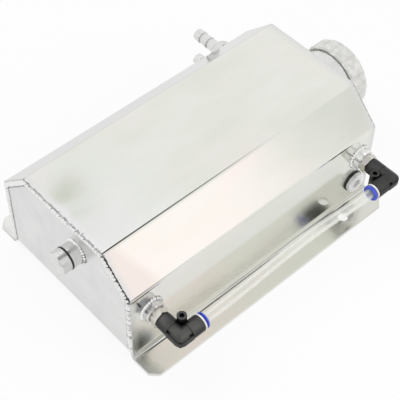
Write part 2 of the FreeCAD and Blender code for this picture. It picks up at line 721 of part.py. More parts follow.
def elbow_body(label, at, turn):
    """The moulded elbow: its stud leg runs along -X and its tube leg along +Y from the corner."""
    body = new_body(label)
    route = new_sketch(body, "XY_Plane")
    add_line_path(route, [("-elbow_stud_leg", "0"), ("0", "0"), ("0", "elbow_tube_leg")], closed=False)
    mouth = new_sketch(body, "YZ_Plane", "-elbow_stud_leg")
    add_circle(mouth, "0", "0", "elbow_radius")
    doc.recompute()
    legs = body.newObject("PartDesign::AdditivePipe", "Legs")
    legs.Profile = mouth
    legs.Spine = (route, ["Edge1", "Edge2"])
    legs.Transition = "Right corner"
    doc.recompute()

    stud_collar = new_sketch(body, "XY_Plane")
    stud_collar_end = "stud_collar_length - elbow_stud_leg"
    add_line_path(stud_collar, [
        ("-elbow_stud_leg", "0"),
        ("-elbow_stud_leg", "stud_collar_radius - stud_collar_edge"),
        ("stud_collar_edge - elbow_stud_leg", "stud_collar_radius"),
        (stud_collar_end, "stud_collar_radius"),
        (stud_collar_end, "0"),
    ])
    revolve(body, stud_collar, "X_Axis")
    tube_collar = new_sketch(body, "XY_Plane")
    tube_collar_end = "elbow_tube_leg - tube_collar_length"
    add_line_path(tube_collar, [
        ("0", "elbow_tube_leg"),
        ("tube_collar_radius - tube_collar_edge", "elbow_tube_leg"),
        ("tube_collar_radius", "elbow_tube_leg - tube_collar_edge"),
        ("tube_collar_radius", tube_collar_end),
        ("0", tube_collar_end),
    ])
    revolve(body, tube_collar, "Y_Axis")

    # A recess beside each collar and a flat across the outer corner, which the rib then fills half-way up.
    rib_reach = "(elbow_radius + rib_proud)"
    rib_corner = "(2 * %s - (2 - sqrt(2)) * rib_round)" % rib_reach
    flat_sum = "(%s - corner_inset * sqrt(2))" % rib_corner
    beyond = "(2 * %s)" % rib_reach
    notch_floor = "(elbow_radius - notch_depth)"
    cuts = new_sketch(body, "XY_Plane")
    add_line_path(cuts, [(stud_collar_end, "-" + notch_floor),
                         (stud_collar_end, "-" + beyond),
                         (stud_collar_end + " + notch_length", "-" + beyond),
                         (stud_collar_end + " + notch_length", "-" + notch_floor)])
    add_line_path(cuts, [(notch_floor, tube_collar_end),
                         (beyond, tube_collar_end),
                         (beyond, tube_collar_end + " - notch_length"),
                         (notch_floor, tube_collar_end + " - notch_length")])
    add_line_path(cuts, [("%s - %s" % (flat_sum, rib_reach), "-" + rib_reach),
                         (rib_reach, "%s - %s" % (rib_reach, flat_sum)),
                         (rib_reach, "-" + rib_reach)])
    pocket(body, cuts, beyond, side="Symmetric")
    rib = new_sketch(body, "XY_Plane")
    add_line_path(rib, [(stud_collar_end, "-" + rib_reach), (rib_reach, "-" + rib_reach),
                        (rib_reach, tube_collar_end), (stud_collar_end, tube_collar_end)])
    pad(body, rib, "rib_thickness", side="Symmetric")
    fillet(body, "rib_round", upright_at(rib_reach, "-" + rib_reach))

    # The lug stands further out on the side that faces up on the lower elbow.
    lug = new_sketch(body, "XY_Plane", "-lug_drop")
    add_circle(lug, "-lug_offset", "lug_offset", "lug_radius")
    pad(body, lug, "lug_drop + lug_rise")
    lug_hole = new_sketch(body, "XY_Plane", "lug_rise")
    add_circle(lug_hole, "-lug_offset", "lug_offset", "lug_hole_radius")
    pocket(body, lug_hole, "lug_drop + lug_rise")

    stud_bore = new_sketch(body, "XY_Plane")
    stud_floor = "stud_socket_depth - elbow_stud_leg"
    add_line_path(stud_bore, [("-elbow_stud_leg", "0"), ("-elbow_stud_leg", stud_socket),
                              (stud_floor, stud_socket), (stud_floor, "flow_radius"),
                              ("0", "flow_radius"), ("0", "0")])
    revolve(body, stud_bore, "X_Axis", cut=True)
    tube_bore = new_sketch(body, "XY_Plane")
    add_line_path(tube_bore, [("0", "-flow_radius"), ("flow_radius", "-flow_radius"), ("flow_radius", "tube_stop"),
                              (tube_fit, "tube_stop"), (tube_fit, socket_floor),
                              ("tube_socket_radius", socket_floor), ("tube_socket_radius", "elbow_tube_leg"),
                              ("0", "elbow_tube_leg")])
    revolve(body, tube_bore, "Y_Axis", cut=True)
    place(body, at, turn)


for end, along, facing, half_turn in (("lower", LOWER_GAUGE, "+Y", 0), ("upper", UPPER_GAUGE, "-Y", 180)):
    wall_at = (HALF_WIDTH, along, "gauge_above_back")
    corner_at = (TUBE_AXIS, along, "gauge_above_back")
    bung_bore = "(stud_thread_radius + fixed_gap)"
    turned(end + "_gauge_bung", [
        (bung_bore, "-sheet_thickness"),
        ("gauge_spigot_radius", "-sheet_thickness"),
        ("gauge_spigot_radius", "0"),
        ("gauge_bung_radius", "0"),
        ("gauge_bung_radius", "gauge_bung_length"),
        (bung_bore, "gauge_bung_length"),
    ], wall_at, "+X")
    weld_ring(end + "_gauge_weld", "gauge_bung_radius", "bung_weld_leg", wall_at, "+X")

    barrel_end = "(%s + stud_barrel_length)" % hex_end
    thread_end = "(%s - stud_thread_length)" % hex_start
    stud = turned(end + "_elbow_stud", [
        ("flow_radius", thread_end),
        ("stud_thread_radius", thread_end),
        ("stud_thread_radius", hex_end),
        ("stud_barrel_radius", hex_end),
        ("stud_barrel_radius", groove_start),
        (groove_radius, groove_start),
        (groove_radius, groove_end),
        ("stud_barrel_radius", groove_end),
        ("stud_barrel_radius", barrel_end),
        ("flow_radius", barrel_end),
    ], wall_at, "+X")
    hex_collar(stud, "stud_hex_width", hex_start, "stud_hex_length", "flow_radius")
    turned(end + "_stud_seal", washer(groove_radius + " + fixed_gap / 2", "stud_barrel_radius + fixed_gap / 2",
                                      groove_start + " + fixed_gap", groove_end + " - fixed_gap"), wall_at, "+X")
    elbow_body(end + "_elbow_body", corner_at, FreeCAD.Rotation(FreeCAD.Vector(1, 0, 0), half_turn))

    turned(end + "_tube_seal", washer(tube_fit, socket_fit, socket_floor, seal_face), corner_at, facing)
    grip = turned(end + "_grip_ring", washer(tube_fit, socket_fit, seal_face, grip_face), corner_at, facing)
    slot = new_sketch(grip, "XY_Plane", grip_face)
    add_line_path(slot, [
        (tube_fit + " - grip_slot_depth", "-grip_slot_width / 2"),
        (tube_fit + " + grip_slot_depth", "-grip_slot_width / 2"),
        (tube_fit + " + grip_slot_depth", "grip_slot_width / 2"),
        (tube_fit + " - grip_slot_depth", "grip_slot_width / 2"),
    ])
    repeat_round(grip, pocket(grip, slot, "grip_thickness"), "grip_tooth_count")
    turned(end + "_guide_ring", [
        (guide_bore, grip_face),
        (socket_fit, grip_face),
        (socket_fit, "elbow_tube_leg"),
        ("guide_rim_radius", "elbow_tube_leg"),
        ("guide_rim_radius", rim_face),
        (guide_bore, rim_face),
    ], corner_at, facing)
    release_bore = "(tube_radius + moving_gap)"
    release_ring = turned(end + "_release_ring", [
        (release_bore, sleeve_start),
        (guide_bore + " - moving_gap", sleeve_start),
        (guide_bore + " - moving_gap", flange_start),
        ("release_flange_radius", flange_start),
        ("release_flange_radius", flange_start + " + release_flange_length"),
        (release_bore, flange_start + " + release_flange_length"),
    ], corner_at, facing)
    chamfer(release_ring, "plug_edge",
            rim_at("release_flange_radius", flange_start + " + release_flange_length"))

# Sight tube: clear tube pushed into both elbows, a little long, so that it bows upwards between them
tube_x = value(TUBE_AXIS)
tube_z = value("gauge_above_back")
tube_foot = value(LOWER_GAUGE + " + tube_stop")
tube_head = value(UPPER_GAUGE + " - tube_stop")
tube_points = [
    FreeCAD.Vector(tube_x, tube_foot, tube_z),
    FreeCAD.Vector(tube_x, tube_foot + value("tube_lower_lead"), tube_z),
    FreeCAD.Vector(tube_x, value("tube_bow_from_middle"), tube_z + value("tube_bow")),
    FreeCAD.Vector(tube_x, tube_head - value("tube_upper_lead"), tube_z),
    FreeCAD.Vector(tube_x, tube_head, tube_z),
]
tube_radii = []
for before, corner, after in zip(tube_points, tube_points[1:], tube_points[2:]):
    bend = (corner - before).getAngle(after - corner)
    run = min((corner - before).Length, (after - corner).Length)
    tube_radii.append(0.45 * run / math.tan(bend / 2))
print("sight tube bend radii", [round(radius) for radius in tube_radii])
bent_tube("sight_tube", tube_points, tube_radii, value("tube_radius"), value("tube_bore_radius"))

# Hose barbs: two bosses on the left wall, each with a screwed barb. The rear boss carries the dip tube.
barb_hex_start = "(barb_bung_length + barb_stand_off)"
barb_hex_end = "(%s + barb_hex_length)" % barb_hex_start
barb_inside = "(-sheet_thickness - barb_bung_inner_length)"
barb_thread_bore = "(barb_thread_radius + fixed_gap)"
barb_thread_end = "(%s - barb_thread_length)" % barb_hex_start
dip_bore = "(dip_radius + fixed_gap)"
for name, height in (("front", "front_barb_above_back"), ("rear", "rear_barb_above_back")):
    barb_at = ("-" + HALF_WIDTH, PORT_ROW, height)
    turned(name + "_barb_bung", [
        (dip_bore, barb_inside),
        ("barb_spigot_radius", barb_inside),
        ("barb_spigot_radius", "0"),
        ("barb_bung_radius", "0"),
        ("barb_bung_radius", "barb_bung_length"),
        (barb_thread_bore, "barb_bung_length"),
        (barb_thread_bore, barb_thread_end + " - fixed_gap"),
        (dip_bore, barb_thread_end + " - fixed_gap"),
    ], barb_at, "-X")
    weld_ring(name + "_barb_weld", "barb_bung_radius", "bung_weld_leg", barb_at, "-X")
    ridges = []
    for number in range(3):
        crest = "%s + barb_lead + %d * barb_pitch" % (barb_hex_end, number)
        ridges += [("barb_root_radius", crest), ("barb_crest_radius", crest)]
    barb_tip = "%s + barb_lead + 2 * barb_pitch + barb_tip_length" % barb_hex_end
    barb = turned(name + "_hose_barb", [
        ("barb_bore_radius", barb_thread_end),
        ("barb_thread_radius", barb_thread_end),
        ("barb_thread_radius", barb_hex_end),
        ("barb_root_radius", barb_hex_end),
    ] + ridges + [
        ("barb_tip_radius", barb_tip),
        ("barb_bore_radius", barb_tip),
    ], barb_at, "-X")
    hex_collar(barb, "barb_hex_width", barb_hex_start, "barb_hex_length", "barb_bore_radius")

dip_start = value("-(%s) - (%s) - dip_seat_length" % (HALF_WIDTH, barb_inside))
dip_run = value("-(%s) - (%s) + dip_lead + dip_bend_radius" % (HALF_WIDTH, barb_inside))
dip_y = value(PORT_ROW)
dip_z = value("rear_barb_above_back")
dip_foot = value("-(%s) + sheet_thickness + dip_foot_gap" % HALF_LENGTH)
bent_tube("dip_tube", [
    FreeCAD.Vector(dip_start, dip_y, dip_z),
    FreeCAD.Vector(dip_run, dip_y, dip_z),
    FreeCAD.Vector(dip_run, dip_foot, dip_z),
], [value("dip_bend_radius")], value("dip_radius"), value("dip_radius - dip_wall"))

doc.recompute()
for item in doc.Objects:
    if "Invalid" in item.State or "Error" in item.State:
        raise ValueError("%s did not build" % item.Label)
for piece in pieces:
    if piece.Shape.isNull() or not piece.Shape.isValid() or not piece.Shape.Solids:
        raise ValueError("%s has no valid solid" % piece.Label)

os.makedirs("parts", exist_ok=True)
for piece in pieces:
    piece.Shape.exportStep("parts/%s.step" % piece.Label)
print("%d pieces" % len(pieces))
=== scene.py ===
import math
import random
import bpy
from mathutils import Matrix, Vector


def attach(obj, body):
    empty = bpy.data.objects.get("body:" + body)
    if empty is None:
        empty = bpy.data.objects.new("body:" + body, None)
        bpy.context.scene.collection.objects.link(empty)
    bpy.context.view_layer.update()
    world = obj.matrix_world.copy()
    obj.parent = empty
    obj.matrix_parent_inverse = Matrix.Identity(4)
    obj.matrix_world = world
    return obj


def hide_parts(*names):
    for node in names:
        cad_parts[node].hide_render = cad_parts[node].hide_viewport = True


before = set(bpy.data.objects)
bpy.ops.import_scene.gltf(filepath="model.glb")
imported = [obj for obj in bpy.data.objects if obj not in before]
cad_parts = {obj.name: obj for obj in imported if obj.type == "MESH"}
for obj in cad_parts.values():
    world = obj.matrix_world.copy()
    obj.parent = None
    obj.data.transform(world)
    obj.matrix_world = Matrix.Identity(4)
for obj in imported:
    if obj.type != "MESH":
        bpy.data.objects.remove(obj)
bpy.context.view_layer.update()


# Folded cover
# One aluminium sheet, bent into two flanges, two walls, two slanted faces and a top. It is buffed to a mirror
# after bending, so it keeps faint streaks, smears and waves, and the heat of welding leaves its ends dull.
def start_finish(name, colour, roughness, metallic=0.0):
    """A material with one shader, and the coordinates of the object to place patterns by."""
    material = bpy.data.materials.new(name)
    material.use_nodes = True
    tree = material.node_tree
    shader = tree.nodes["Principled BSDF"]
    shader.inputs["Base Color"].default_value = (*colour, 1)
    shader.inputs["Roughness"].default_value = roughness
    shader.inputs["Metallic"].default_value = metallic
    place = tree.nodes.new("ShaderNodeTexCoord").outputs["Object"]
    return material, tree, shader, place


def grain(tree, place, scale, detail=3.0, stretch=(1, 1, 1)):
    """Noise from 0 to 1, which can be stretched along the axes."""
    mapping = tree.nodes.new("ShaderNodeMapping")
    mapping.inputs["Scale"].default_value = stretch
    noise = tree.nodes.new("ShaderNodeTexNoise")
    noise.inputs["Scale"].default_value = scale
    noise.inputs["Detail"].default_value = detail
    tree.links.new(place, mapping.inputs["Vector"])
    tree.links.new(mapping.outputs["Vector"], noise.inputs["Vector"])
    return noise.outputs["Fac"]


def reckon(tree, operation, *terms):
    """One step of arithmetic. Each term is a number or the output of a node."""
    step = tree.nodes.new("ShaderNodeMath")
    step.operation = operation
    for socket, term in zip(step.inputs, terms):
        if isinstance(term, (int, float)):
            socket.default_value = term
        else:
            tree.links.new(term, socket)
    return step.outputs["Value"]


def times(tree, first, *others):
    """The product of several patterns."""
    for other in others:
        first = reckon(tree, "MULTIPLY", first, other)
    return first


def ragged(tree, distance, pattern, depth):
    """A distance that a pattern shortens by up to depth, so that a border drawn by it is uneven."""
    return reckon(tree, "MULTIPLY_ADD", pattern, -depth, distance)


def spread(tree, amount, low, high, start=0.3, end=0.7):
    """Turn an amount into a number that goes from low at start to high at end."""
    span = tree.nodes.new("ShaderNodeMapRange")
    span.inputs["From Min"].default_value = start
    span.inputs["From Max"].default_value = end
    span.inputs["To Min"].default_value = low
    span.inputs["To Max"].default_value = high
    tree.links.new(amount, span.inputs["Value"])
    return span.outputs["Result"]


def tint(tree, amount, first, second):
    """Turn an amount into a colour between two colours. Each is three numbers or the output of a node."""
    mix = tree.nodes.new("ShaderNodeMix")
    mix.data_type = "RGBA"
    tree.links.new(amount, mix.inputs["Factor"])
    for letter, colour in (("A", first), ("B", second)):
        if isinstance(colour, tuple):
            mix.inputs[letter].default_value = (*colour, 1)
        else:
            tree.links.new(colour, mix.inputs[letter])
    return mix.outputs["Result"]


def along(tree, place):
    """The three coordinates of a place, one by one."""
    parts = tree.nodes.new("ShaderNodeSeparateXYZ")
    tree.links.new(place, parts.inputs["Vector"])
    return parts.outputs["X"], parts.outputs["Y"], parts.outputs["Z"]


def away_from(tree, place, point):
    """The distance of a place from a point."""
    gap = tree.nodes.new("ShaderNodeVectorMath")
    gap.operation = "DISTANCE"
    gap.inputs[1].default_value = point
    tree.links.new(place, gap.inputs[0])
    return gap.outputs["Value"]


def coat(tree, shader, colour, roughness):
    """Let one pattern colour a surface and another dull it."""
    tree.links.new(colour, shader.inputs["Base Color"])
    tree.links.new(roughness, shader.inputs["Roughness"])


def emboss(tree, shader, layers):
    """Stack patterns of height on a surface. A layer is a pattern, its strength and its depth in metres."""
    below = None
    for height, strength, depth in layers:
        bump = tree.nodes.new("ShaderNodeBump")
        bump.inputs["Strength"].default_value = strength
        bump.inputs["Distance"].default_value = depth
        tree.links.new(height, bump.inputs["Height"])
        if below is not None:
            tree.links.new(below, bump.inputs["Normal"])
        below = bump.outputs["Normal"]
    tree.links.new(below, shader.inputs["Normal"])


def dress(material, *names):
    """Give CAD nodes a finish."""
    for name in names:
        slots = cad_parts[name].data.materials
        slots.clear()
        slots.append(material)


half_length, wall_side, sheet = 0.125, 0.0735, 0.003
port_row, port_level = 0.107, 0.0245
buffed_sheet, tree, shader, place = start_finish("buffed_sheet", (0.79, 0.79, 0.74), 0.09, 1.0)
across, row, height = along(tree, place)
side = reckon(tree, "ABSOLUTE", across)
from_end = reckon(tree, "SUBTRACT", half_length, reckon(tree, "ABSOLUTE", row))
slanted = times(tree, spread(tree, side, 0, 1, 0.0440, 0.0465), spread(tree, height, 0, 1, 0.0735, 0.0755))

# Marks of the buffing wheel all over the sheet
streaks = grain(tree, place, 1.0, stretch=(900, 14, 900))
waves = grain(tree, place, 22, 1.0, (1, 0.5, 1))
smears = grain(tree, place, 45, 4.0, (1, 0.35, 1))
blush = grain(tree, place, 26, 2.0, (1, 0.6, 1))
nicks = grain(tree, place, 420, 2.0)
polish = tint(tree, spread(tree, smears, 0, 1), (0.755, 0.77, 0.70), (0.80, 0.81, 0.76))
polish = tint(tree, spread(tree, blush, 0, 0.7, 0.5, 0.7), polish, (0.82, 0.78, 0.745))

# Haze on the slanted faces by the end welds, wider at the foot of each face and weaker at the filler end. The
# left face has a painted greyer reflection, and the heat of the welds fades the very ends of the sheet.
slant_top, foot_share = 0.1, 0.6
drop = reckon(tree, "SUBTRACT", slant_top, height)
haze_edge = ragged(tree, ragged(tree, from_end, smears, 0.008), drop, foot_share)
haze = times(tree, slanted, spread(tree, haze_edge, 1, 0, 0.004, 0.012))
haze = times(tree, haze, spread(tree, row, 1, 0.35, -0.1, 0.1))
polish = tint(tree, haze, polish, (0.735, 0.71, 0.655))
# painted greyer reflection on the left slanted face
left_slant_shade = times(tree, slanted, spread(tree, across, 1, 0, -0.01, 0.01))
polish = tint(tree, left_slant_shade, polish, (0.65, 0.65, 0.645))
heat = spread(tree, ragged(tree, from_end, smears, 0.006), 1, 0, -0.002, 0.004)
polish = tint(tree, heat, polish, (0.74, 0.74, 0.725))

# Painted shade in undercut nicks where the welds bite into the edge of the slanted faces and of the top
undercut_shade = spread(tree, ragged(tree, from_end, nicks, 0.0026), 1, 0, -0.0008, -0.0004)
undercut_shade = times(tree, undercut_shade, spread(tree, row, 1, 0.45, -0.1, 0.1), spread(tree, across, 0.15, 1, -0.01, 0.01))
polish = tint(tree, times(tree, slanted, undercut_shade), polish, (0.06, 0.06, 0.06))
crown_undercut_shade = spread(tree, ragged(tree, from_end, nicks, 0.0060), 1, 0, -0.0029, -0.0020)
on_crown = spread(tree, height, 0, 1, 0.1005, 0.1015)
crown_undercut_shade = times(tree, crown_undercut_shade, on_crown, spread(tree, row, 1, 0.2, -0.1, 0.1))
polish = tint(tree, crown_undercut_shade, polish, (0.38, 0.38, 0.375))

# Flanges painted greyer at the filler end, a painted darker reflection, with painted shade in the fold and a
# painted dark reflection on the wall over the lower gauge boss
above_flange = reckon(tree, "SUBTRACT", height, sheet)
on_flange = spread(tree, above_flange, 1, 0, 0.0001, 0.0005)
# painted darker reflection on the flanges at the filler end
far_flange_shade = times(tree, on_flange, spread(tree, row, 0, 1, 0.05, 0.10))
polish = tint(tree, far_flange_shade, polish, (0.69, 0.69, 0.635))
from_fold = reckon(tree, "MAXIMUM", above_flange, reckon(tree, "SUBTRACT", side, wall_side))
# painted shade in the inside fold between flange and wall
fold_shade = spread(tree, ragged(tree, from_fold, smears, 0.0008), 0.9, 0, 0.0004, 0.0012)
fold_shade = times(tree, fold_shade, spread(tree, row, 0.3, 1, -0.09, -0.03))
polish = tint(tree, fold_shade, polish, (0.27, 0.255, 0.235))
# painted dark reflection on the wall over the lower gauge boss
from_boss_reflection = away_from(tree, place, (wall_side, -0.1140, 0.0625))
boss_reflection_shade = spread(tree, ragged(tree, from_boss_reflection, nicks, 0.004), 0.75, 0, 0.0035, 0.0065)
polish = tint(tree, boss_reflection_shade, polish, (0.20, 0.20, 0.22))

# Duller at the heated ends, on the scuffed flanges, round the side port and on the walls by the ends
dullness = reckon(tree, "MULTIPLY_ADD", heat, 0.16, spread(tree, smears, 0.07, 0.13))
scuffed = spread(tree, height, 1, 0, 0.0031, 0.0036)
dullness = reckon(tree, "MULTIPLY_ADD", scuffed, 0.06, dullness)
from_port = away_from(tree, place, (wall_side, port_row, port_level))
dullness = reckon(tree, "ADD", dullness, spread(tree, from_port, 0.2, 0, 0.014, 0.021))
on_wall = spread(tree, height, 1, 0, 0.066, 0.072)
wall_haze = times(tree, on_wall, spread(tree, from_end, 0.03, 0, 0.004, 0.030))
coat(tree, shader, polish, reckon(tree, "ADD", dullness, wall_haze))
emboss(tree, shader, [(waves, 0.25, 0.0008), (streaks, 0.05, 0.00005)])
dress(buffed_sheet, "cover", "back_panel")


# End plates
# Flat plates cut from the same sheet and set between the ends of the cover. They are rubbed with a fine pad,
# so they are duller than the cover, with a painted shadow line where the toe of the weld runs out on them.
toe_side, toe_height, toe_slant = 0.0685, 0.0975, 0.09965
slant_across, slant_up = 0.698, 0.716
rubbed_sheet, tree, shader, place = start_finish("rubbed_sheet", (0.75, 0.75, 0.75), 0.34, 1.0)
streaks = grain(tree, place, 1.0, stretch=(20, 20, 700))
smears = grain(tree, place, 60, 4.0)
across, _, height = along(tree, place)
side = reckon(tree, "ABSOLUTE", across)
from_wall = reckon(tree, "SUBTRACT", toe_side, side)
from_top = reckon(tree, "SUBTRACT", toe_height, height)
leaning = reckon(tree, "MULTIPLY_ADD", side, slant_across, reckon(tree, "MULTIPLY", height, slant_up))
from_slant = reckon(tree, "SUBTRACT", toe_slant, leaning)
from_bead = reckon(tree, "MINIMUM", from_wall, reckon(tree, "MINIMUM", from_top, from_slant))
# painted shadow line along the toe of the weld bead
toe_shadow = spread(tree, ragged(tree, from_bead, smears, 0.0008), 0.7, 0, 0.0004, 0.0012)
rubbed = tint(tree, spread(tree, smears, 0, 1), (0.76, 0.76, 0.76), (0.83, 0.83, 0.825))
coat(tree, shader, tint(tree, toe_shadow, rubbed, (0.16, 0.16, 0.16)), spread(tree, streaks, 0.28, 0.42))
emboss(tree, shader, [(smears, 0.15, 0.0004), (streaks, 0.12, 0.00005)])
dress(rubbed_sheet, "lower_end_plate", "upper_end_plate")


# Weld beads
# The plates, the bosses and the neck are joined by hand with aluminium rod. Each dab of the rod leaves a
# small scale over the one before it, bright on its crown. Where its rim meets the next it has soot and painted
# shade.
weld_metal, tree, shader, place = start_finish("weld_metal", (0.9, 0.9, 0.89), 0.2, 1.0)
skin = grain(tree, place, 900)
rim_mark = tree.nodes.new("ShaderNodeAttribute")
rim_mark.attribute_name = "rim"
# soot and painted shade on the rims of the dabs
soot_and_shade = spread(tree, rim_mark.outputs["Fac"], 0, 1, 0.70, 1.0)
scale_colour = tint(tree, spread(tree, skin, 0, 1), (0.84, 0.84, 0.83), (0.93, 0.93, 0.92))
scale_dullness = reckon(tree, "MULTIPLY_ADD", soot_and_shade, 0.2, spread(tree, skin, 0.12, 0.24))
coat(tree, shader, tint(tree, soot_and_shade, scale_colour, (0.22, 0.22, 0.215)), scale_dullness)
emboss(tree, shader, [(skin, 0.2, 0.0001)])


def weld_scale(width, length, height, soot_and_shade_level):
    """One dab of weld: a flattened dome that leans back along its local -X, cut off a little below its middle.
    Each point is marked with how near it is to the leading rim, up to the last argument, and the mark is
    soot and painted shade on the rim."""
    sunk, lean = -height * 0.3, math.radians(-16)
    bpy.ops.object.select_all(action="DESELECT")
    bpy.ops.mesh.primitive_uv_sphere_add(segments=12, ring_count=8, radius=1.0)
    dab = bpy.context.object
    bpy.ops.object.mode_set(mode="EDIT")
    bpy.ops.mesh.select_all(action="SELECT")
    bpy.ops.transform.resize(value=(length / 2, width / 2, height))
    bpy.ops.mesh.bisect(plane_co=(0, 0, sunk), plane_no=(0, 0, 1), clear_inner=True, use_fill=True)
    bpy.ops.object.mode_set(mode="OBJECT")
    rim = dab.data.attributes.new("rim", "FLOAT", "POINT")
    for vertex, mark in zip(dab.data.vertices, rim.data):
        ahead, aside = vertex.co.x * 2 / length, vertex.co.y * 2 / width
        mark.value = soot_and_shade_level * math.hypot(ahead, aside) * (0.6 + 0.4 * ahead)
    dab.data.transform(Matrix.Rotation(lean, 4, "Y"))
    bpy.ops.object.shade_smooth()
    return dab


hand = random.Random(7)


def lay_weld(seam, dab, steps):
    """Copy a dab to every step of a bead, a little unevenly, join the copies and let them stand for the CAD
    bead. A step is a point, the way the bead runs there and the way it faces."""
    copies = []
    for point, run, face in steps:
        copy = dab.copy()
        copy.data = dab.data.copy()
        across = face.cross(run).normalized()
        turn = Matrix((run.normalized(), across, face.normalized())).transposed().to_4x4()
        size = Matrix.Scale(hand.uniform(0.78, 1.0), 4)
        slew = Matrix.Rotation(hand.uniform(-0.3, 0.3), 4, "Z")
        stray = Matrix.Translation((hand.uniform(-0.0005, 0.0005), 0, 0))
        copy.data.transform(Matrix.Translation(point) @ turn @ stray @ slew @ size)
        # each dab gets its own amount of soot and painted shade on its rim
        soot_and_shade_factor = hand.uniform(0.7, 1.05)
        for mark in copy.data.attributes["rim"].data:
            mark.value *= soot_and_shade_factor
        bpy.context.collection.objects.link(copy)
        copies.append(copy)
    bpy.ops.object.select_all(action="DESELECT")
    for copy in copies:
        copy.select_set(True)
    bpy.context.view_layer.objects.active = copies[0]
    bpy.ops.object.join()
    bead = bpy.context.object
    bead.name = seam + "_bead"
    bead.data.materials.clear()
    bead.data.materials.append(weld_metal)
    node = seam + "_weld"
    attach(bead, "tank")
    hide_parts(node)


end_dab = weld_scale(0.0049, 0.0052, 0.0018, 1.1)
end_dab_spacing = 0.0030
end_corners = [(0.0706, 0.0094), (0.0706, 0.0733), (0.0436, 0.0996)]
end_corners += [(-across, up) for across, up in reversed(end_corners)]
for seam, end in (("lower_end", -half_length), ("upper_end", half_length)):
    steps = []
    for (x0, z0), (x1, z1) in zip(end_corners, end_corners[1:]):
        start, finish = Vector((x0, end, z0)), Vector((x1, end, z1))
        count = round((finish - start).length / end_dab_spacing)
        for number in range(count):
            point = start.lerp(finish, (number + 0.5) / count)
            steps.append((point, finish - start, Vector((0, end, 0))))
    lay_weld(seam, end_dab, steps)
bpy.data.objects.remove(end_dab)

# Round beads of the neck and the bosses: centre, axis, radius, lift off the plate and number of dabs
neck_level = 0.0554
drain_side, drain_level = 0.014, 0.0755
gauge_rows, gauge_level = {"lower": -0.107, "upper": 0.110}, 0.0513
barb_row, barb_levels = 0.107, {"front": 0.055, "rear": 0.026}
ring_dab = weld_scale(0.0031, 0.0036, 0.0006, 0.85)
neck_dab = weld_scale(0.0042, 0.0044, 0.0009, 0.85)
drain_dab = weld_scale(0.0026, 0.0036, 0.0004, 0.7)
# a dab with more soot and painted shade on its rim, for the lower gauge boss
sooty_shaded_dab = weld_scale(0.0031, 0.0036, 0.0006, 0.95)
rings = [
    ("neck", neck_dab, (0, half_length, neck_level), (0, 1, 0), 0.0292, 0.0014, 64),
    ("drain", drain_dab, (drain_side, -half_length, drain_level), (0, -1, 0), 0.0102, 0.0009, 32),
]
for seam, dab in (("lower", sooty_shaded_dab), ("upper", ring_dab)):
    boss = (wall_side, gauge_rows[seam], gauge_level)
    rings.append((seam + "_gauge", dab, boss, (1, 0, 0), 0.0100, 0.0009, 32))
for seam, level in barb_levels.items():
    rings.append((seam + "_barb", ring_dab, (-wall_side, barb_row, level), (-1, 0, 0), 0.0105, 0.0009, 32))
for seam, dab, centre, axis, radius, lift, count in rings:
    centre, axis = Vector(centre), Vector(axis)
    first = Vector((0, 0, 1))
    second = axis.cross(first)
    steps = []
    for number in range(count):
        angle = math.tau * number / count
        outward = first * math.cos(angle) + second * math.sin(angle)
        steps.append((centre + outward * radius + axis * lift, axis.cross(outward), outward + axis))
    lay_weld(seam, dab, steps)
for dab in (ring_dab, neck_dab, drain_dab, sooty_shaded_dab):
    bpy.data.objects.remove(dab)

seam_metal, tree, shader, place = start_finish("seam_metal", (0.74, 0.74, 0.73), 0.3, 1.0)
ripple = tree.nodes.new("ShaderNodeTexWave")
ripple.bands_direction = "Y"
ripple.wave_profile = "SAW"
ripple.inputs["Scale"].default_value = 105
ripple.inputs["Distortion"].default_value = 3
tree.links.new(place, ripple.inputs["Vector"])
ridges = ripple.outputs["Fac"]
tree.links.new(tint(tree, ridges, (0.45, 0.45, 0.44), (0.80, 0.80, 0.79)), shader.inputs["Base Color"])
emboss(tree, shader, [(ridges, 0.8, 0.0004)])
dress(seam_metal, "back_seam_weld")


# Filler neck, cap, bosses, barbs and plugs
# All are turned from aluminium bar. The tool leaves fine rings round the axis of each piece, and the cap is
# tumbled after its scallops are milled, so it is satin and mottled, with a painted olive shade in its creases.
def turned_finish(name, axis, centre, colour=(0.80, 0.80, 0.79), low=0.14, high=0.30, metallic=1.0):
    """Turned metal, with tool marks that run round an axis through centre."""
    material, tree, shader, place = start_finish(name, colour, low, metallic)
    mapping = tree.nodes.new("ShaderNodeMapping")
    mapping.inputs["Location"].default_value = [-number for number in centre]
    tree.links.new(place, mapping.inputs["Vector"])
    flat = tree.nodes.new("ShaderNodeVectorMath")
    flat.operation = "MULTIPLY"
    flat.inputs[1].default_value = (0, 1, 1) if axis == "X" else (1, 0, 1)
    tree.links.new(mapping.outputs["Vector"], flat.inputs[0])
    radius = tree.nodes.new("ShaderNodeVectorMath")
    radius.operation = "LENGTH"
    tree.links.new(flat.outputs["Vector"], radius.inputs[0])
    lathe = tree.nodes.new("ShaderNodeCombineXYZ")
    tree.links.new(radius.outputs["Value"], lathe.inputs["X"])
    tree.links.new(along(tree, mapping.outputs["Vector"])["XYZ".index(axis)], lathe.inputs["Y"])
    marks = grain(tree, lathe.outputs["Vector"], 2600, 2.0)
    stain = grain(tree, place, 160)
    darker = tuple(number * 0.88 for number in colour)
    coat(tree, shader, tint(tree, spread(tree, stain, 0, 1), darker, colour), spread(tree, marks, low, high))
    emboss(tree, shader, [(marks, 0.25, 0.00008)])
    return material


def openness(tree, reach):
    """How open the space over a surface is, from 0 in a crease that is narrower than reach to 1."""
    nook = tree.nodes.new("ShaderNodeAmbientOcclusion")
    nook.inputs["Distance"].default_value = reach
    return nook.outputs["AO"]


neck_finish = turned_finish("turned_neck", "Y", (0, 0, neck_level))
dress(neck_finish, "filler_neck")

